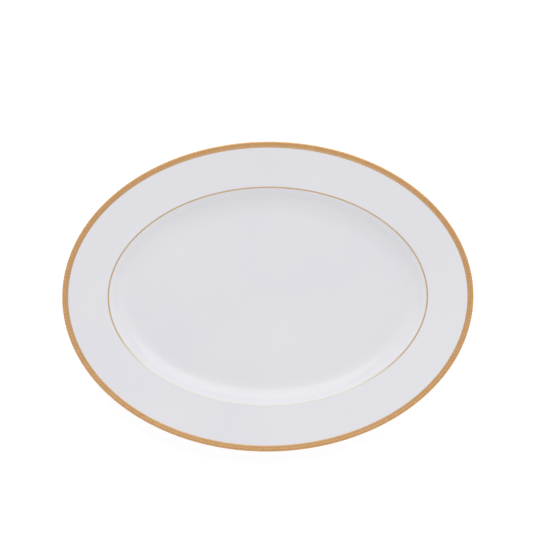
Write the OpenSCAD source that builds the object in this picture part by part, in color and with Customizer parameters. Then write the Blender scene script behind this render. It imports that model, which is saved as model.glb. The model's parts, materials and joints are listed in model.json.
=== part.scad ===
// Oval china serving platter with a gilded, beaded rim.
// The origin is on the table under the middle of the oval. +X runs along it and +Z is up.

/* [Outline] */
// Overall length of the oval, tip to tip
length = 355.6; // [344:0.4:368]
// How much shorter the oval is across than along
slimness = 87.6; // [84:0.4:92]

/* [Section] */
// Height from the table to the top of the lip, without the beads
height = 25; // [24.5:0.5:30]
// Glazed thickness at the lip
lip_t = 2.4; // [2.2:0.1:2.8]
// Glazed thickness of the well floor
floor_t = 4.4; // [3.8:0.1:5]
// Length of the flange, from the lip to where it turns down into the well
flange_l = 37.6; // [35.6:0.5:38.6]
// Slope of the flange at the lip, in degrees
lip_slope = 11; // [10:0.5:12]
// Slope of the flange where it turns down, in degrees
verge_slope = 9; // [7:0.5:9.5]
// Slope of the well wall, in degrees
wall_slope = 48; // [45:1:49]
// Radius of the turn from the flange into the wall, at half thickness
verge_r = 3; // [2.5:0.5:4]
// Radius of the sweep from the wall into the floor, at half thickness
cavetto_r = 26; // [24:0.5:27.5]

/* [Foot] */
// Height of the glazed underside above the table
foot_h = 4.4; // [3.6:0.1:4.8]
// Width of the foot ring where it joins the underside
foot_w = 5.6; // [5:0.2:7]
// How far each side of the foot ring tapers in towards the table
foot_taper = 0.6; // [0.4:0.1:0.8]

/* [Glaze and gilding] */
// Thickness of the glaze
glaze_t = 0.25; // [0.2:0.01:0.3]
// Thickness of the gold
gold_t = 0.12; // [0.1:0.01:0.2]
// Width of the gold band on the flange
band_w = 4.3; // [4:0.1:5]
// Number of beads round the rim
bead_count = 336; // [320:4:336]
// Width of a bead where it meets the gold band
bead_w = 2.3; // [2:0.1:2.4]
// Height of a bead
bead_h = 0.3; // [0.2:0.05:0.5]
// Width of the raised gold rail inside the beads
rail_w = 0.6; // [0.4:0.1:0.8]
// Height of that rail
rail_h = 0.15; // [0.1:0.05:0.3]
// Width of the gold verge line, measured at half thickness of the china
verge_line_w = 0.8; // [0.5:0.05:1]

/* [Hidden] */

$fn = 180;
FAR = 400;
MARGIN = 5;
PORCELAIN = "WhiteSmoke";
BISCUIT = "Linen";
GLAZE = "White";
GOLD = "Goldenrod";

// Each quarter of the outline is three arcs: tip, shoulder and side. They meet where the
// outline faces along TURN_1 and TURN_2, so each arc's centre lies on the line that its
// neighbour turns about, and the curve runs smoothly from one to the next.
TURN_1 = [0.8, 0.6];
TURN_2 = [0.352, 0.936];
TURN_1_DEG = atan2(TURN_1.y, TURN_1.x);
TURN_2_DEG = atan2(TURN_2.y, TURN_2.x);
// How much larger the shoulder's radius is than the tip's, as a share of half the length
SHOULDER_RISE = 0.346;

half_l = length / 2;
rise_1 = nearest_half(SHOULDER_RISE * half_l);
rise_2 = nearest_half((slimness / 2 - gain(TURN_1) * rise_1) / gain(TURN_2));
tip_r = half_l - TURN_1.x * rise_1 - TURN_2.x * rise_2;
shoulder_r = tip_r + rise_1;
side_r = shoulder_r + rise_2;
tip_c = [half_l - tip_r, 0];
shoulder_c = tip_c - rise_1 * TURN_1;
side_c = [0, shoulder_c.y - rise_2 * TURN_2.y];

// The section is drawn as [inset, height]: inset is measured in from the outline.
// The lip is rounded by a small arc above and a larger one below.
lip_top_r = 0.7;
lip_low_r = lip_t - lip_top_r;
lip_set_back = lip_low_r - lip_top_r;
lip_c = [
  lip_low_r + gold_t - lip_set_back * cos(lip_slope),
  height - lip_top_r - gold_t
];
lip_low_c = lip_c + lip_set_back * [cos(lip_slope), -sin(lip_slope)];

// The middle of the china's thickness runs inwards from the lip through a gently hollow
// flange, a tight turn at the verge, a short straight wall, a wide sweep and the flat floor.
start = lip_c - (lip_t / 2 - lip_top_r) * [sin(lip_slope), cos(lip_slope)];
flange_end = bend(start, lip_slope, verge_slope, flange_l / radians(lip_slope - verge_slope));
wall_start = bend(flange_end, verge_slope, wall_slope, verge_r);
floor_mid = foot_h + floor_t / 2;
wall_drop = wall_start.y - floor_mid - cavetto_r * (1 - cos(wall_slope));
wall_l = wall_drop / sin(wall_slope);
wall_end = wall_start + wall_l * [cos(wall_slope), -sin(wall_slope)];
floor_start = bend(wall_end, wall_slope, 0, cavetto_r);

// Distances along that middle line, and what sets the gilding's places on it
RAIL_INSET = 0.5;
UNDER_LIP = 0.7;
LINE_GAP = 0.35;
s_verge = flange_l;
s_wall = s_verge + verge_r * radians(wall_slope - verge_slope);
s_sweep = s_wall + wall_l;
s_floor = s_sweep + cavetto_r * radians(wall_slope);
s_rail = band_w - RAIL_INSET - rail_w;
s_under_lip = lip_set_back + UNDER_LIP;
s_line = s_verge + LINE_GAP;

// The foot ring stands just inside the start of the flat floor.
FOOT_GAP = 0.5;
FOOT_EDGE = 0.5;
GLAZE_STOP = 1;
foot_out = floor_start.x + FOOT_GAP;
foot_in = foot_out + foot_w;
clay_under = foot_h + glaze_t;
floor_top = foot_h + floor_t;
// The swept ring reaches in past the foot, and overlaps the flat middle slab.
RING_REACH = 14;
OVERLAP = 8;
ring_inset = foot_in + RING_REACH;
slab_inset = ring_inset - OVERLAP;

RIM_STOPS = [0, s_rail, s_rail + rail_w, band_w];
LOW_RIM_STOPS = [lip_set_back, s_under_lip, band_w];
INNER_STOPS = concat(
  between(band_w, s_verge, 5),
  [s_line, s_line + verge_line_w],
  between(s_line + verge_line_w, s_wall, 5),
  [s_sweep],
  between(s_sweep, s_floor, 10)
);

function radians(a) = a * PI / 180;
function nearest_half(v) = round(2 * v) / 2;
// How much a rise in radius at a turn makes the outline longer than it is wide, on each side
function gain(turn) = turn.x + turn.y - 1;
function exact(p) = [for (v = p) round(v * 1000) / 1000];
function reversed(l) = [for (i = [len(l) - 1 : -1 : 0]) l[i]];
// Steps from a to b, without a itself
function between(a, b, n) = [for (i = [1 : n]) a + (b - a) * i / n];
// End of an arc that starts at p and turns from one downward slope to another
function bend(p, from, to, r) =
  let (way = to > from ? r : -r)
  p + way * [sin(to) - sin(from), cos(to) - cos(from)];
// Downward slope of the middle line at distance s
function slope(s) =
  s < s_verge ? lip_slope + (verge_slope - lip_slope) * s / flange_l :
  s < s_wall ? verge_slope + (s - s_verge) / radians(1) / verge_r :
  s < s_sweep ? wall_slope :
  max(0, wall_slope - (s - s_sweep) / radians(1) / cavetto_r);
// Point on the middle line at distance s
function middle(s) =
  s < s_verge ? bend(start, lip_slope, slope(s), flange_l / radians(lip_slope - verge_slope)) :
  s < s_wall ? bend(flange_end, verge_slope, slope(s), verge_r) :
  s < s_sweep ? wall_start + (s - s_wall) * [cos(wall_slope), -sin(wall_slope)] :
  bend(wall_end, wall_slope, slope(s), cavetto_r);
function thickness(s) = lip_t + (floor_t - lip_t) * min(1, s / s_floor);
// Point on the upper (side = 1) or lower (side = -1) glaze surface, raised by lift
function skin(s, side, lift) =
  middle(s) + side * (thickness(s) / 2 + lift) * [sin(slope(s)), cos(slope(s))];
// Points round the lip, from its highest to its widest and on to the underside, raised by lift
LIP_TURNS = [for (i = [0 : 3]) 22 * i];
function lip(lift) = concat(
  [for (t = LIP_TURNS) lip_c + (lip_top_r + lift) * [-sin(t), cos(t)]],
  [for (t = concat([-lip_slope], LIP_TURNS)) lip_low_c - (lip_low_r + lift) * [cos(t), sin(t)]]
);
function upper(stops, lift) = [for (s = stops) skin(s, 1, lift)];
function lower(stops, lift) = [for (s = stops) skin(s, -1, lift)];
// One surface of the whole section: in over the floor, out to the lip and back underneath
function full_skin(lift) = concat(
  [[ring_inset, floor_top + lift]],
  reversed(upper(concat(RIM_STOPS, INNER_STOPS), lift)),
  lip(lift),
  lower(concat(LOW_RIM_STOPS, INNER_STOPS), lift)
);
// A coat on the upper side from stop to stop
function coat(stops, low, high) = concat(upper(stops, high), reversed(upper(stops, low)));

// One arc of the outline, carrying the section, cut off along two directions from its centre
module swept_arc(centre, r, from, to, section) {
  intersection() {
    translate([centre.x, centre.y])
      rotate_extrude()
        polygon([for (p = section) [r - exact(p).x, exact(p).y]]);
    translate([centre.x, centre.y, -MARGIN])
      linear_extrude(height + 2 * MARGIN)
        polygon([[0, 0], FAR * from, FAR * to]);
  }
}

module and_mirrored(across) {
  children();
  mirror(across) children();
}

// The section carried right round the oval
module ring(section) {
  and_mirrored([1, 0, 0])
    swept_arc(tip_c, tip_r, [TURN_1.x, -TURN_1.y], TURN_1, section);
  and_mirrored([0, 1, 0])
    swept_arc(side_c, side_r, TURN_2, [-TURN_2.x, TURN_2.y], section);
  and_mirrored([1, 0, 0])
    and_mirrored([0, 1, 0])
      swept_arc(shoulder_c, shoulder_r, TURN_1, TURN_2, section);
}

// Points of a quarter of the outline, at an inset, where it faces at each angle
function outline_point(inset, angle) =
  let (
    c = angle < TURN_1_DEG ? tip_c : angle < TURN_2_DEG ? shoulder_c : side_c,
    r = angle < TURN_1_DEG ? tip_r : angle < TURN_2_DEG ? shoulder_r : side_r
  )
  c + (r - inset) * [cos(angle), sin(angle)];

// The flat middle of the platter, inside the ring
module slab(z0, z1) {
  quarter = [for (a = [0 : 15 : 90]) exact(outline_point(slab_inset, a))];
  half = concat(quarter, [for (i = [len(quarter) - 2 : -1 : 0]) [-quarter[i].x, quarter[i].y]]);
  oval = concat(half, [for (i = [len(half) - 2 : -1 : 1]) [half[i].x, -half[i].y]]);
  translate([0, 0, z0])
    linear_extrude(z1 - z0)
      polygon(oval);
}

// Bone china under the glaze: floor, wall, flange and lip in one piece
module china_body() {
  color(PORCELAIN) {
    ring(concat(full_skin(-glaze_t), [[ring_inset, clay_under]]));
    slab(clay_under, floor_top - glaze_t);
  }
}

// Unglazed ring that the platter stands on
module foot_ring() {
  color(BISCUIT)
    ring([
      [foot_out, clay_under],
      [foot_out + foot_taper, FOOT_EDGE],
      [foot_out + foot_taper + FOOT_EDGE, 0],
      [foot_in - foot_taper - FOOT_EDGE, 0],
      [foot_in - foot_taper, FOOT_EDGE],
      [foot_in, clay_under]
    ]);
}

// How far the foot's sides have tapered in where the glaze stops above the table
glaze_stop_taper = foot_taper * (clay_under - GLAZE_STOP) / (clay_under - FOOT_EDGE);

// Glaze over the face, round the lip, under the flange and down the outside of the foot
module face_glaze() {
  color(GLAZE) {
    ring(concat(
      full_skin(0),
      [
        [foot_out - glaze_t, foot_h],
        [foot_out + glaze_stop_taper - glaze_t, GLAZE_STOP],
        [foot_out + glaze_stop_taper, GLAZE_STOP],
        [foot_out, clay_under]
      ],
      reversed(full_skin(-glaze_t))
    ));
    slab(floor_top - glaze_t, floor_top);
  }
}

// Glaze on the base, inside the foot
module base_glaze() {
  color(GLAZE) {
    ring([
      [foot_in, clay_under],
      [foot_in - glaze_stop_taper, GLAZE_STOP],
      [foot_in - glaze_stop_taper + glaze_t, GLAZE_STOP],
      [foot_in + glaze_t, foot_h],
      [ring_inset, foot_h],
      [ring_inset, clay_under]
    ]);
    slab(foot_h, clay_under);
  }
}

// Gold laid over the lip, from the flange to just underneath
module gold_lip_band() {
  under = [lip_set_back, s_under_lip];
  color(GOLD)
    ring(concat(
      reversed(upper(RIM_STOPS, gold_t)),
      lip(gold_t),
      lower(under, gold_t),
      reversed(lower(under, 0)),
      reversed(lip(0)),
      upper(RIM_STOPS, 0)
    ));
}

// Raised gold rail between the beads and the edge of the band
module gold_inner_rail() {
  color(GOLD)
    ring(coat([s_rail, s_rail + rail_w], gold_t, gold_t + rail_h));
}

// Thin gold line where the flange turns down into the well
module gold_verge_line() {
  color(GOLD)
    ring(coat([s_line, s_line + verge_line_w], 0, gold_t));
}

// Where a bead's two bevels meet and where its flat top starts, as shares of its size
BEAD_BEVEL = [0.87, 0.65];
BEAD_FLAT = 0.6;

// The beads stand with their middles at this distance along the flange.
s_bead = 0.8;
bead_at = skin(s_bead, 1, gold_t);
// Lengths of a quarter's three arcs, along the middle of the bead row
bead_arcs = [
  radians(TURN_1_DEG) * (tip_r - bead_at.x),
  radians(TURN_2_DEG - TURN_1_DEG) * (shoulder_r - bead_at.x),
  radians(90 - TURN_2_DEG) * (side_r - bead_at.x)
];
bead_pitch = 4 * (bead_arcs[0] + bead_arcs[1] + bead_arcs[2]) / bead_count;

// Direction that the outline faces at distance d along a quarter
function facing(d) =
  d < bead_arcs[0] ? d / (tip_r - bead_at.x) / radians(1) :
  d < bead_arcs[0] + bead_arcs[1] ?
    TURN_1_DEG + (d - bead_arcs[0]) / (shoulder_r - bead_at.x) / radians(1) :
    TURN_2_DEG + (d - bead_arcs[0] - bead_arcs[1]) / (side_r - bead_at.x) / radians(1);

// A low round bead, bevelled in two steps up to a flat top
module bead() {
  rotate_extrude($fn = 64)
    polygon([
      [0, 0],
      [bead_w / 2, 0],
      [BEAD_BEVEL.x * bead_w / 2, BEAD_BEVEL.y * bead_h],
      [BEAD_FLAT * bead_w / 2, bead_h],
      [0, bead_h]
    ]);
}

// The row of beads, each one square to the flange under it
module gold_bead_row() {
  color(GOLD)
    and_mirrored([1, 0, 0])
      and_mirrored([0, 1, 0])
        for (i = [0 : bead_count / 4 - 1]) {
          angle = facing((i + 0.5) * bead_pitch);
          place = outline_point(bead_at.x, angle);
          translate([place.x, place.y, bead_at.y])
            rotate([0, -slope(s_bead), angle])
              bead();
        }
}

china_body();
foot_ring();
face_glaze();
base_glaze();
gold_lip_band();
gold_bead_row();
gold_inner_rail();
gold_verge_line();
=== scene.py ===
"""Oval china serving platter with a gilded, beaded rim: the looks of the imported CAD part.

The section is worked out in millimetres, as [inset from the outline, height], and its middle line
runs from the lip (s = 0) to the floor. Meshes are in metres.
"""
import json
import math

import bmesh
import bpy
from mathutils import Matrix, Vector, noise


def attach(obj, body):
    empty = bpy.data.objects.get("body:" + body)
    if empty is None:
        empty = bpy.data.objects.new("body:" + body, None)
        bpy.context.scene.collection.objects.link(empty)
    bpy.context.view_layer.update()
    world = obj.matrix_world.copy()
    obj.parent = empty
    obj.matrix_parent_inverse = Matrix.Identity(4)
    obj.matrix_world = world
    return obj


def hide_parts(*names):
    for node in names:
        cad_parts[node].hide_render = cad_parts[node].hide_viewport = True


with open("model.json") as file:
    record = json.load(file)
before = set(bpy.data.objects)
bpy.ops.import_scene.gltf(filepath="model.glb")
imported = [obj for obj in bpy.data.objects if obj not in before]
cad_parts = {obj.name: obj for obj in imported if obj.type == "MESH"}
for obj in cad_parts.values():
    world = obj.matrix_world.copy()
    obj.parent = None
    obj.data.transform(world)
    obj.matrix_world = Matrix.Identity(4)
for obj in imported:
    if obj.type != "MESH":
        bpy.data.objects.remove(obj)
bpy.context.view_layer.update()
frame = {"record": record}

MM = 0.001
LENGTH, WIDTH = (side / MM for side in frame["record"]["size"]["bbox_m"][:2])
HALF_L = LENGTH / 2
HALF_W = WIDTH / 2

# The china's section, in millimetres and degrees
HEIGHT = 25.0
FOOT_H = 4.4
LIP_T = 2.4
FLOOR_T = 4.4
FLANGE_L = 37.6
LIP_SLOPE = 11.0
VERGE_SLOPE = 9.0
WALL_SLOPE = 48.0
VERGE_R = 3.0
CAVETTO_R = 26.0
LIP_TOP_R = 0.7
LIP_LOW_R = LIP_T - LIP_TOP_R
FOOT_W = 5.6
FOOT_TAPER = 0.6
FOOT_GAP = 0.5
FOOT_EDGE_R = 0.5

# The glaze and the gilding. BAND_END, RAIL, LINE and BEAD_AT are places along the middle line
GLAZE_T = 0.25
GLAZE_STOP = 1.0
GOLD_T = 0.12
BAND_END = 4.3
BAND_UNDER = 0.7
RAIL = (3.2, 3.8)
RAIL_H = 0.15
LINE = (FLANGE_L + 0.35, FLANGE_L + 1.15)
BEAD_AT = 0.8
BEAD_COUNT = 336
BEAD_R = 1.15
BEAD_H = 0.3

# What the kiln did: the floor sagged, and the flange warped in long waves with short ones on them
FLOOR_SAG = 0.25
KILN_WARP = 0.12
LONG_WAVE = 95
SHORT_WAVE = 30
SHORT_SHARE = 0.25
STIFF_BELOW = 12.0

# Points round the oval, and twice as many for the gold on the rim
AROUND = 360
AROUND_RIM = AROUND * 2


# --- The middle line of the china, from the lip to the floor ---------------------------------

S_WALL = FLANGE_L + VERGE_R * math.radians(WALL_SLOPE - VERGE_SLOPE)


def fall(r, a, b):
    """How far an arc of radius r falls as its slope turns from a to b."""
    return abs(r * (math.cos(math.radians(a)) - math.cos(math.radians(b))))


SET_BACK = LIP_LOW_R - LIP_TOP_R
LIP_DIR = Vector((math.cos(math.radians(LIP_SLOPE)), -math.sin(math.radians(LIP_SLOPE))))
LIP_UP = Vector((-LIP_DIR.y, LIP_DIR.x))
LIP_TOP_C = Vector((LIP_LOW_R + GOLD_T - SET_BACK * LIP_DIR.x, HEIGHT - LIP_TOP_R - GOLD_T))
LIP_LOW_C = LIP_TOP_C + SET_BACK * LIP_DIR
START = LIP_TOP_C - (LIP_T / 2 - LIP_TOP_R) * LIP_UP
FLANGE_R = FLANGE_L / math.radians(LIP_SLOPE - VERGE_SLOPE)
ARCS_FALL = (
    fall(FLANGE_R, LIP_SLOPE, VERGE_SLOPE)
    + fall(VERGE_R, VERGE_SLOPE, WALL_SLOPE)
    + fall(CAVETTO_R, WALL_SLOPE, 0)
)
FLOOR_MID = FOOT_H + FLOOR_T / 2
WALL_L = (START.y - FLOOR_MID - ARCS_FALL) / math.sin(math.radians(WALL_SLOPE))
S_SWEEP = S_WALL + WALL_L
S_FLOOR = S_SWEEP + CAVETTO_R * math.radians(WALL_SLOPE)
STEP = 0.1
S_END = S_FLOOR + 30.0
# How far the drawn bends are softened, at the verge and at the floor
SOFT_VERGE = 0.7
SOFT_FLOOR = 4.0
SOFT_TAPS = 24


def drawn_slope(s):
    """The downward slope of the middle line at s, in degrees, with each arc meeting the next."""
    if s < FLANGE_L:
        return LIP_SLOPE + (VERGE_SLOPE - LIP_SLOPE) * max(s, 0) / FLANGE_L
    if s < S_WALL:
        return VERGE_SLOPE + math.degrees((s - FLANGE_L) / VERGE_R)
    if s < S_SWEEP:
        return WALL_SLOPE
    return max(0.0, WALL_SLOPE - math.degrees((s - S_SWEEP) / CAVETTO_R))


def eased_slope(s):
    """drawn_slope, blended over a reach that widens from the verge to the floor, as clay softens."""
    past_verge = min(1.0, max(0.0, (s - S_WALL) / (S_FLOOR - S_WALL)))
    reach = SOFT_VERGE + (SOFT_FLOOR - SOFT_VERGE) * past_verge
    total = sum(drawn_slope(s + reach * (2 * i / SOFT_TAPS - 1)) for i in range(SOFT_TAPS + 1))
    return total / (SOFT_TAPS + 1)


def middle_line():
    """[inset, height, slope] every STEP from the lip on, ending at just the floor's height."""
    u, z = START
    line = []
    for i in range(int(S_END / STEP) + 2):
        slope = math.radians(eased_slope(i * STEP))
        line.append([u, z, slope])
        u += STEP * math.cos(slope)
        z -= STEP * math.sin(slope)
    verge_z = line[int(FLANGE_L / STEP)][1]
    fix = (verge_z - FLOOR_MID) / (verge_z - line[-1][1])
    for p in line:
        if p[1] < verge_z:
            p[1] = verge_z + (p[1] - verge_z) * fix
    return line


MIDDLE = middle_line()


def skin(s, side, lift=0.0):
    """The point on the upper (side 1) or lower (side -1) glaze surface at s, raised by lift."""
    i = min(int(s / STEP), len(MIDDLE) - 2)
    t = s / STEP - i
    u, z, slope = (a + (b - a) * t for a, b in zip(MIDDLE[i], MIDDLE[i + 1]))
    half = (LIP_T + (FLOOR_T - LIP_T) * min(1.0, s / S_FLOOR)) / 2 + lift
    return (u + side * half * math.sin(slope), z + side * half * math.cos(slope))


def stretch(a, b, n):
    """n + 1 even steps from a to b."""
    return [a + (b - a) * i / n for i in range(n + 1)]


def stops(a, b):
    """Where the section is sampled from a to b: about every 3 mm, and finer round the bends."""
    marks = stretch(0, BAND_END, 8)
    marks += stretch(BAND_END, FLANGE_L - 2, 10)[1:]
    marks += stretch(FLANGE_L - 2, S_WALL + 1, 20)[1:]
    marks += stretch(S_WALL + 1, S_FLOOR + 6, 26)[1:]
    return [a] + [s for s in marks if a < s < b] + [b]


def upper(a, b, lift):
    """The upper side from a to b, raised by lift."""
    return [skin(s, 1, lift) for s in stops(a, b)]


def lower(a, b, lift):
    """The same on the underside, which needs only half the stops."""
    marks = stops(a, b)
    return [skin(s, -1, lift) for s in marks[:-1:2] + marks[-1:]]


def lip(lift, steps=9):
    """Round the lip, from just past its top to just short of its underside."""
    points = []
    for centre, r, a, b in (
        (LIP_TOP_C, LIP_TOP_R, 0, 90),
        (LIP_LOW_C, LIP_LOW_R, 90, 180),
    ):
        for i in range(1, steps):
            facing = math.radians(LIP_SLOPE - a - (b - a) * i / steps)
            points.append((
                centre.x + (r + lift) * math.sin(facing),
                centre.y + (r + lift) * math.cos(facing),
            ))
    return points


# --- From section to solid --------------------------------------------------------------------

# The swept ring ends inside the foot. Inside it the floor's rings close in on a line along X,
# which is SPINE times the ring's length
RING_END = S_FLOOR + 16.0
RING_INSET = skin(RING_END, 1)[0]
SPINE = 0.5
WELD = 1e-7


def outline(angle, inset):
    """The point on the oval, inset from its edge, where the edge faces along angle."""
    c, s = math.cos(angle), math.sin(angle)
    q = math.hypot(HALF_L * c, HALF_W * s)
    return (HALF_L * HALF_L / q - inset) * c, (HALF_W * HALF_W / q - inset) * s


def warp(x, y, z):
    """How far firing has lifted the china at a place, in millimetres. The foot stays on the table."""
    lift = KILN_WARP * noise.noise(Vector((x / LONG_WAVE, y / LONG_WAVE, 4.2)))
    lift += KILN_WARP * SHORT_SHARE * noise.noise(Vector((x / SHORT_WAVE, y / SHORT_WAVE, 8.7)))
    return lift * min(1.0, max(0.0, z / STIFF_BELOW))


def placed(x, y, z):
    """A point in metres, with the kiln's warp."""
    return Vector((x * MM, y * MM, (z + warp(x, y, z)) * MM))


def turn(k, n):
    """The angle of step k of n in a full turn."""
    return 2 * math.pi * k / n


def row(inset, z, around=AROUND):
    """One ring of points round the oval."""
    ring = []
    for k in range(around):
        x, y = outline(turn(k, around), inset)
        ring.append(placed(x, y, z))
    return ring


def floor_rows(z, sag, rows=14):
    """Rings from the middle of the floor out to the swept ring, which close on a spine along X."""
    made = []
    for i in range(rows):
        t = i / rows
        ring = []
        for k in range(AROUND):
            x, y = outline(turn(k, AROUND), RING_INSET)
            ring.append(placed(x * (SPINE + (1 - SPINE) * t), y * t, z - sag * (1 - t * t)))
        made.append(ring)
    return made


def mesh_of_rows(name, rows, closed):
    """A piece whose faces join each ring of points to the next."""
    bm = bmesh.new()
    rings = [[bm.verts.new(p) for p in ring] for ring in rows]
    pairs = list(zip(rings, rings[1:]))
    if closed:
        pairs.append((rings[-1], rings[0]))
    for a, b in pairs:
        for k in range(len(a)):
            n = (k + 1) % len(a)
            bm.faces.new((a[k], a[n], b[n], b[k]))
    bmesh.ops.remove_doubles(bm, verts=bm.verts, dist=WELD)
    return piece(name, bm)


def piece(name, bm):
    """Makes a smooth-shaded object of a bmesh, with its faces turned outwards."""
    bmesh.ops.recalc_face_normals(bm, faces=bm.faces)
    mesh = bpy.data.meshes.new(name)
    bm.to_mesh(mesh)
    bm.free()
    mesh.shade_smooth()
    obj = bpy.data.objects.new(name, mesh)
    bpy.context.scene.collection.objects.link(obj)
    return obj


def swept(name, section, around=AROUND):
    """A closed section carried round the oval."""
    return mesh_of_rows(name, [row(u, z, around) for u, z in section], closed=True)


def stands_for(obj, node, material):
    """Puts a piece in the place of its CAD node."""
    obj.data.materials.append(material)
    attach(obj, "root")
    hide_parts(node)
    return obj


# --- Materials --------------------------------------------------------------------------------

# The first colour is painted shade on the gold turned down over the lip; the second is a painted
# highlight on the verge line along the front
PAINTED_SHADE_GOLD = (0.52, 0.31, 0.13)
PAINTED_HIGHLIGHT_GOLD = (0.86, 0.82, 0.74)
# The verge line is painted pale, as a painted highlight, fully up to FADE_FULL_BY on each side of
# FADE_TOWARDS, and is plain gold past FADE_OUT_BY. These are directions from the middle, on the oval
# drawn out to a circle
FADE_TOWARDS = math.radians(262)
FADE_FULL_BY = math.radians(24)
FADE_OUT_BY = math.radians(62)


def shader(name):
    """A new material, its node tree and its shader."""
    material = bpy.data.materials.new(name)
    material.use_nodes = True
    tree = material.node_tree
    return material, tree, tree.nodes["Principled BSDF"]


def noise_node(tree, scale, detail=2.0, roughness=0.5):
    """Noise over the object's own coordinates; scale is in cycles per metre."""
    coords = tree.nodes.get("Texture Coordinate") or tree.nodes.new("ShaderNodeTexCoord")
    node = tree.nodes.new("ShaderNodeTexNoise")
    node.inputs["Scale"].default_value = scale
    node.inputs["Detail"].default_value = detail
    node.inputs["Roughness"].default_value = roughness
    tree.links.new(coords.outputs["Object"], node.inputs["Vector"])
    return node


def ramp(tree, source, low, high):
    """A colour that follows noise from low to high."""
    node = tree.nodes.new("ShaderNodeValToRGB")
    first, last = node.color_ramp.elements
    first.position, first.color = 0.35, (*low, 1)
    last.position, last.color = 0.65, (*high, 1)
    tree.links.new(source, node.inputs["Fac"])
    return node.outputs["Color"]


def between(tree, source, low, high):
    """A number that follows noise from low to high."""
    node = tree.nodes.new("ShaderNodeMapRange")
    node.inputs["From Min"].default_value = 0.3
    node.inputs["From Max"].default_value = 0.7
    node.inputs["To Min"].default_value = low
    node.inputs["To Max"].default_value = high
    tree.links.new(source, node.inputs["Value"])
    return node.outputs["Result"]


def bump(tree, bsdf, source, depth):
    """Surface relief of a depth in metres."""
    node = tree.nodes.new("ShaderNodeBump")
    node.inputs["Distance"].default_value = depth
    node.inputs["Strength"].default_value = 1.0
    tree.links.new(source, node.inputs["Height"])
    tree.links.new(node.outputs["Normal"], bsdf.inputs["Normal"])


def glaze_material():
    """Bright, slightly cool white glaze that has flowed a little unevenly."""
    material, tree, bsdf = shader("glaze")
    tint = noise_node(tree, 9, detail=3)
    colour = ramp(tree, tint.outputs["Fac"], (0.83, 0.83, 0.877), (0.86, 0.857, 0.897))
    tree.links.new(colour, bsdf.inputs["Base Color"])
    flow = noise_node(tree, 45)
    tree.links.new(between(tree, flow.outputs["Fac"], 0.05, 0.11), bsdf.inputs["Roughness"])
    bsdf.inputs["IOR"].default_value = 1.5
    bump(tree, bsdf, flow.outputs["Fac"], 0.00004)
    return material


def gold_material(name, low, high, smooth, rough):
    """Gold from colour low to high, burnished from smooth to rough, with a fine grain."""
    material, tree, bsdf = shader(name)
    bsdf.inputs["Metallic"].default_value = 1.0
    patch = noise_node(tree, 160, detail=3)
    tree.links.new(ramp(tree, patch.outputs["Fac"], low, high), bsdf.inputs["Base Color"])
    grain = noise_node(tree, 1400, detail=3, roughness=0.6)
    tree.links.new(between(tree, grain.outputs["Fac"], smooth, rough), bsdf.inputs["Roughness"])
    bump(tree, bsdf, grain.outputs["Fac"], 0.00001)
    return material


def mix_over(tree, bsdf, share, colour):
    """Mixes the base colour towards another, by a share that varies over the surface."""
    node = tree.nodes.new("ShaderNodeMix")
    node.data_type = "RGBA"
    before = bsdf.inputs["Base Color"].links[0].from_socket
    tree.links.new(share, node.inputs["Factor"])
    tree.links.new(before, node.inputs["A"])
    node.inputs["B"].default_value = (*colour, 1)
    tree.links.new(node.outputs["Result"], bsdf.inputs["Base Color"])


def paint_shade_on_round_edge(material):
    """Paints gold darker and browner where it turns down over the edge of the lip: painted shade."""
    tree = material.node_tree
    geometry = tree.nodes.new("ShaderNodeNewGeometry")
    split = tree.nodes.new("ShaderNodeSeparateXYZ")
    tree.links.new(geometry.outputs["Normal"], split.inputs["Vector"])
    turned = tree.nodes.new("ShaderNodeMapRange")
    turned.inputs["From Min"].default_value = 0.95
    turned.inputs["From Max"].default_value = 0.6
    tree.links.new(split.outputs["Z"], turned.inputs["Value"])
    mix_over(tree, tree.nodes["Principled BSDF"], turned.outputs["Result"], PAINTED_SHADE_GOLD)


def paint_highlight_along_front(material):
    """Paints the gold pale cream and barely metallic along the front of the well: a painted
    highlight.
    """
    tree = material.node_tree
    bsdf = tree.nodes["Principled BSDF"]
    coords = tree.nodes["Texture Coordinate"]
    square_up = tree.nodes.new("ShaderNodeVectorMath")
    square_up.operation = "MULTIPLY"
    square_up.inputs[1].default_value = (WIDTH / LENGTH, LENGTH / WIDTH, 0)
    tree.links.new(coords.outputs["Object"], square_up.inputs[0])
    unit = tree.nodes.new("ShaderNodeVectorMath")
    unit.operation = "NORMALIZE"
    tree.links.new(square_up.outputs["Vector"], unit.inputs[0])
    along = tree.nodes.new("ShaderNodeVectorMath")
    along.operation = "DOT_PRODUCT"
    along.inputs[1].default_value = (math.cos(FADE_TOWARDS), math.sin(FADE_TOWARDS), 0)
    tree.links.new(unit.outputs["Vector"], along.inputs[0])
    painted_highlight = tree.nodes.new("ShaderNodeMapRange")
    painted_highlight.interpolation_type = "SMOOTHSTEP"
    painted_highlight.inputs["From Min"].default_value = math.cos(FADE_OUT_BY)
    painted_highlight.inputs["From Max"].default_value = math.cos(FADE_FULL_BY)
    tree.links.new(along.outputs["Value"], painted_highlight.inputs["Value"])
    # painted highlight: the base colour goes pale cream and the metal thins towards the front
    mix_over(tree, bsdf, painted_highlight.outputs["Result"], PAINTED_HIGHLIGHT_GOLD)
    metal = tree.nodes.new("ShaderNodeMapRange")
    metal.inputs["To Min"].default_value = 1
    metal.inputs["To Max"].default_value = 0.1
    tree.links.new(painted_highlight.outputs["Result"], metal.inputs["Value"])
    tree.links.new(metal.outputs["Result"], bsdf.inputs["Metallic"])


def clay_material(name, low, high, roughness, grain):
    """Bare fired china, from colour low to high, with a grain of a depth in metres."""
    material, tree, bsdf = shader(name)
    speck = noise_node(tree, 220, detail=5, roughness=0.65)
    tree.links.new(ramp(tree, speck.outputs["Fac"], low, high), bsdf.inputs["Base Color"])
    bsdf.inputs["Roughness"].default_value = roughness
    fine = noise_node(tree, 2600)
    bump(tree, bsdf, fine.outputs["Fac"], grain)
    return material


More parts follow.
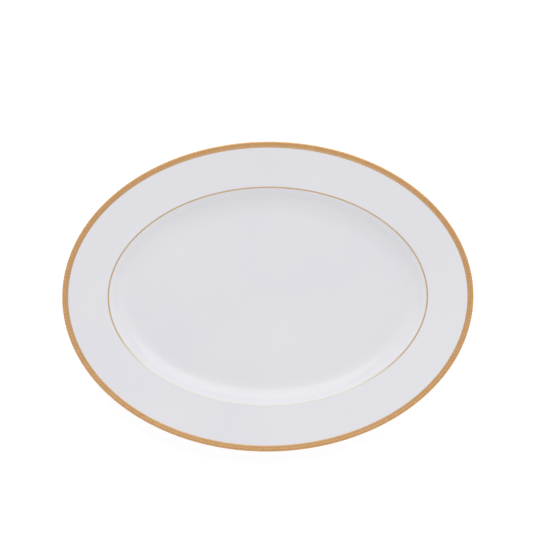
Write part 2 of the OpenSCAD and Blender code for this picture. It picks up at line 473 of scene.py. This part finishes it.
GLAZE = glaze_material()
GOLD = gold_material("gold", (0.82, 0.495, 0.235), (0.87, 0.54, 0.265), 0.34, 0.46)
# painted shade on the lip band where it turns down over the edge
paint_shade_on_round_edge(GOLD)
BEAD_GOLD = gold_material("bead_gold", (0.73, 0.41, 0.18), (0.78, 0.445, 0.205), 0.36, 0.46)
LINE_GOLD = gold_material("line_gold", (0.70, 0.485, 0.25), (0.75, 0.53, 0.29), 0.26, 0.36)
# painted highlight along the front of the verge line
paint_highlight_along_front(LINE_GOLD)
BISCUIT = clay_material("biscuit", (0.80, 0.785, 0.76), (0.87, 0.86, 0.84), 0.7, 0.00003)
BARE_FOOT = clay_material("bare_foot", (0.74, 0.71, 0.67), (0.84, 0.82, 0.785), 0.85, 0.00006)


# --- The pieces -------------------------------------------------------------------------------

FOOT_OUT = skin(S_FLOOR, -1)[0] + FOOT_GAP
FOOT_IN = FOOT_OUT + FOOT_W
CLAY_UNDER = FOOT_H + GLAZE_T
FLOOR_TOP = FOOT_H + FLOOR_T
STOP_TAPER = FOOT_TAPER * (CLAY_UNDER - GLAZE_STOP) / (CLAY_UNDER - FOOT_EDGE_R)


def whole_skin(lift, underside_end):
    """One surface: out over the face, round the lip and in under it, to underside_end."""
    return upper(0, RING_END, lift)[::-1] + lip(lift) + lower(SET_BACK, underside_end, lift)


def make_biscuit():
    """The bone-china body, inside its glaze."""
    rows = floor_rows(FLOOR_TOP - GLAZE_T, FLOOR_SAG)
    rows += [row(u, z) for u, z in whole_skin(-GLAZE_T, RING_END)]
    rows += floor_rows(CLAY_UNDER, 0)[::-1]
    return mesh_of_rows("fired_china_body", rows, closed=False)


def make_face_glaze():
    """Glaze over the face, round the lip and down the foot's outside, rounded off where it stops."""
    foot_wall = [
        (FOOT_OUT - GLAZE_T, FOOT_H + 0.3),
        (FOOT_OUT - GLAZE_T * 0.9, FOOT_H),
        (FOOT_OUT + STOP_TAPER - GLAZE_T, GLAZE_STOP + 0.15),
        (FOOT_OUT + STOP_TAPER - GLAZE_T * 0.6, GLAZE_STOP),
        (FOOT_OUT + STOP_TAPER, GLAZE_STOP),
        (FOOT_OUT, CLAY_UNDER),
    ]
    rows = floor_rows(FLOOR_TOP, FLOOR_SAG)
    rows += [row(u, z) for u, z in whole_skin(0, S_FLOOR)]
    rows += [row(u, z) for u, z in foot_wall]
    rows += [row(u, z) for u, z in whole_skin(-GLAZE_T, S_FLOOR)[::-1]]
    rows += floor_rows(FLOOR_TOP - GLAZE_T, FLOOR_SAG)[::-1]
    return mesh_of_rows("poured_face_glaze", rows, closed=False)


def make_base_glaze():
    """Glaze on the base, inside the foot, which it meets in a soft corner."""
    section = [
        (FOOT_IN, CLAY_UNDER),
        (FOOT_IN - STOP_TAPER, GLAZE_STOP),
        (FOOT_IN - STOP_TAPER + GLAZE_T * 0.6, GLAZE_STOP),
        (FOOT_IN - STOP_TAPER + GLAZE_T, GLAZE_STOP + 0.15),
        (FOOT_IN + GLAZE_T, FOOT_H - 0.3),
        (FOOT_IN + GLAZE_T + 0.1, FOOT_H - 0.08),
        (FOOT_IN + GLAZE_T + 0.35, FOOT_H),
        (FOOT_IN + 4, FOOT_H),
        (RING_INSET, FOOT_H),
    ]
    rows = floor_rows(CLAY_UNDER, 0)
    rows += [row(u, z) for u, z in section]
    rows += floor_rows(FOOT_H, 0)[::-1]
    return mesh_of_rows("poured_base_glaze", rows, closed=False)


def make_foot_ring():
    """The bare ring it stands on, with softly rounded edges."""
    out_low = FOOT_OUT + FOOT_TAPER
    in_low = FOOT_IN - FOOT_TAPER
    rounding = [
        (FOOT_EDGE_R * (1 - math.cos(a)), FOOT_EDGE_R * (1 - math.sin(a)))
        for a in (math.radians(15 * i) for i in range(7))
    ]
    section = [(FOOT_OUT, CLAY_UNDER), (FOOT_OUT + STOP_TAPER, GLAZE_STOP)]
    section += [(out_low + u, z) for u, z in rounding]
    section += [(u, 0) for u in stretch(out_low + FOOT_EDGE_R, in_low - FOOT_EDGE_R, 6)[1:-1]]
    section += [(in_low - u, z) for u, z in rounding[::-1]]
    section += [(FOOT_IN - STOP_TAPER, GLAZE_STOP), (FOOT_IN, CLAY_UNDER)]
    return swept("ground_foot_ring", section)


def make_lip_band():
    """Gold laid over the lip, thinning to nothing at both of its edges."""
    start = 0.05
    under = SET_BACK + BAND_UNDER
    outer = upper(start, BAND_END - 0.15, GOLD_T)[::-1] + lip(GOLD_T) + lower(SET_BACK, under, GOLD_T)
    inner = lower(SET_BACK, under + 0.1, 0)[::-1] + lip(0)[::-1] + upper(start, BAND_END, 0)
    return swept("burnished_lip_band", outer + inner, AROUND_RIM)


def raised_line(name, a, b, base, height, shoulder):
    """A line of gold from a to b on the upper side. The higher shoulder is, the squarer the line."""
    crown = [
        skin(s, 1, base + height * (1 - abs(2 * (s - a) / (b - a) - 1) ** shoulder))
        for s in stretch(a, b, 10)
    ]
    bed = [skin(s, 1, base) for s in stretch(b, a, 4)[1:-1]]
    return swept(name, crown + bed, AROUND_RIM)


def make_inner_rail():
    """The raised rail inside the beads."""
    return raised_line("burnished_inner_rail", *RAIL, GOLD_T, RAIL_H, shoulder=3)


def make_verge_line():
    """The thin line where the flange turns down into the well."""
    return raised_line("gilded_verge_line", *LINE, 0, GOLD_T, shoulder=4)


def bead_places():
    """Where each bead stands on the rim, and the way the rim faces there: evenly along its length."""
    inset = skin(BEAD_AT, 1, GOLD_T)[0]
    steps = 20000
    angles = [turn(k, steps) for k in range(steps + 1)]
    points = [outline(a, inset) for a in angles]
    lengths = [0.0]
    for p, q in zip(points, points[1:]):
        lengths.append(lengths[-1] + math.dist(p, q))
    places = []
    k = 0
    for i in range(BEAD_COUNT):
        target = (i + 0.5) * lengths[-1] / BEAD_COUNT
        while lengths[k + 1] < target:
            k += 1
        places.append((points[k], angles[k]))
    return places


def add_bead(bm, place):
    """One bead, a low dome with a soft foot. place puts it on the rim."""
    segments, rings = 20, 7
    loops = []
    for j in range(1, rings + 1):
        r = BEAD_R * j / rings
        h = BEAD_H * (1 - (j / rings) ** 2.4) ** 0.75
        loops.append([
            bm.verts.new(place @ (Vector((r * math.cos(a), r * math.sin(a), h)) * MM))
            for a in (turn(k, segments) for k in range(segments))
        ])
    top = bm.verts.new(place @ Vector((0, 0, BEAD_H * MM)))
    for k in range(segments):
        n = (k + 1) % segments
        bm.faces.new((top, loops[0][k], loops[0][n]))
        for a, b in zip(loops, loops[1:]):
            bm.faces.new((a[k], b[k], b[n], a[n]))
    bm.faces.new(loops[-1][::-1])


def make_beads():
    """The raised beads round the rim, each square to the flange under it."""
    z = skin(BEAD_AT, 1, GOLD_T)[1]
    tilt = Matrix.Rotation(-math.radians(LIP_SLOPE), 4, "Y")
    bm = bmesh.new()
    for (x, y), angle in bead_places():
        add_bead(bm, Matrix.Translation(placed(x, y, z)) @ Matrix.Rotation(angle, 4, "Z") @ tilt)
    return piece("burnished_beads", bm)


stands_for(make_biscuit(), "china_body", BISCUIT)
stands_for(make_foot_ring(), "foot_ring", BARE_FOOT)
stands_for(make_face_glaze(), "face_glaze", GLAZE)
stands_for(make_base_glaze(), "base_glaze", GLAZE)
stands_for(make_lip_band(), "gold_lip_band", GOLD)
stands_for(make_beads(), "gold_bead_row", BEAD_GOLD)
stands_for(make_inner_rail(), "gold_inner_rail", GOLD)
stands_for(make_verge_line(), "gold_verge_line", LINE_GOLD)


# --- Studio, in metres ------------------------------------------------------------------------

# The camera is CAMERA_UP above the lip, and what it sees there is VIEW_SPAN wide
VIEW_SPAN = 460.2 * MM
CAMERA_UP = 1.0
SENSOR = 36.0
AIM = Vector((-0.95, 26.0, HEIGHT)) * MM
ROLL = math.radians(-0.46)
# The table is just under the foot, so that their faces don't coincide
TABLE_Z = -0.05 * MM
TABLE_SIDE = 12


def make_camera():
    """Looks straight down, a little behind the middle of the platter."""
    data = bpy.data.cameras.new("camera")
    data.sensor_width = SENSOR
    data.lens = SENSOR * CAMERA_UP / VIEW_SPAN
    camera = bpy.data.objects.new("camera", data)
    camera.location = AIM + Vector((0, 0, CAMERA_UP))
    camera.rotation_euler = (0, 0, ROLL)
    bpy.context.scene.collection.objects.link(camera)
    bpy.context.scene.camera = camera


def make_floor():
    """A pale table top, lit a little from within so that it photographs white."""
    bpy.ops.mesh.primitive_plane_add(size=TABLE_SIDE, location=(0, 0, TABLE_Z))
    floor = bpy.context.object
    floor.name = "studio_floor"
    material, _, bsdf = shader("light_table")
    bsdf.inputs["Base Color"].default_value = (0.86, 0.86, 0.86, 1)
    bsdf.inputs["Roughness"].default_value = 0.6
    bsdf.inputs["Emission Color"].default_value = (1, 1, 1, 1)
    bsdf.inputs["Emission Strength"].default_value = 0.36
    floor.data.materials.append(material)


KEY_PLACE = Vector((0.25, 1.55, 1.35))
KEY_SIZE = (2.2, 1.6)
KEY_WATTS = 10.9


def make_key_light():
    """A wide soft light behind the platter and above it, facing it."""
    data = bpy.data.lights.new("key_light", "AREA")
    data.shape = "RECTANGLE"
    data.size, data.size_y = KEY_SIZE
    data.energy = KEY_WATTS
    light = bpy.data.objects.new("key_light", data)
    light.location = KEY_PLACE
    light.rotation_euler = (-KEY_PLACE).to_track_quat("-Z", "Y").to_euler()
    bpy.context.scene.collection.objects.link(light)


# How bright the tent is, against the height of the direction: -1 below, 0 level, 1 overhead
TENT = (
    (-1.0, 0.4),
    (-0.4, 0.45),
    (0.0, 1.0),
    (0.3, 0.53),
    (0.6, 0.61),
    (0.88, 0.6),
    (0.94, 0.32),
    (1.0, 0.3),
)
TENT_STRENGTH = 1.39


def make_world():
    """A white tent, brightest low down, with a dim opening overhead for the camera."""
    world = bpy.data.worlds.new("tent")
    bpy.context.scene.world = world
    world.use_nodes = True
    tree = world.node_tree
    coords = tree.nodes.new("ShaderNodeTexCoord")
    split = tree.nodes.new("ShaderNodeSeparateXYZ")
    tree.links.new(coords.outputs["Generated"], split.inputs["Vector"])
    share = tree.nodes.new("ShaderNodeMapRange")
    share.inputs["From Min"].default_value = -1
    tree.links.new(split.outputs["Z"], share.inputs["Value"])
    node = tree.nodes.new("ShaderNodeValToRGB")
    tree.links.new(share.outputs["Result"], node.inputs["Fac"])
    elements = node.color_ramp.elements
    for height, _ in TENT[1:-1]:
        elements.new((height + 1) / 2)
    for element, (_, level) in zip(elements, TENT):
        element.color = (level, level, level, 1)
    background = tree.nodes["Background"]
    background.inputs["Strength"].default_value = TENT_STRENGTH
    tree.links.new(node.outputs["Color"], background.inputs["Color"])


make_camera()
make_floor()
make_world()
make_key_light()
bpy.context.scene.view_settings.view_transform = "Standard"
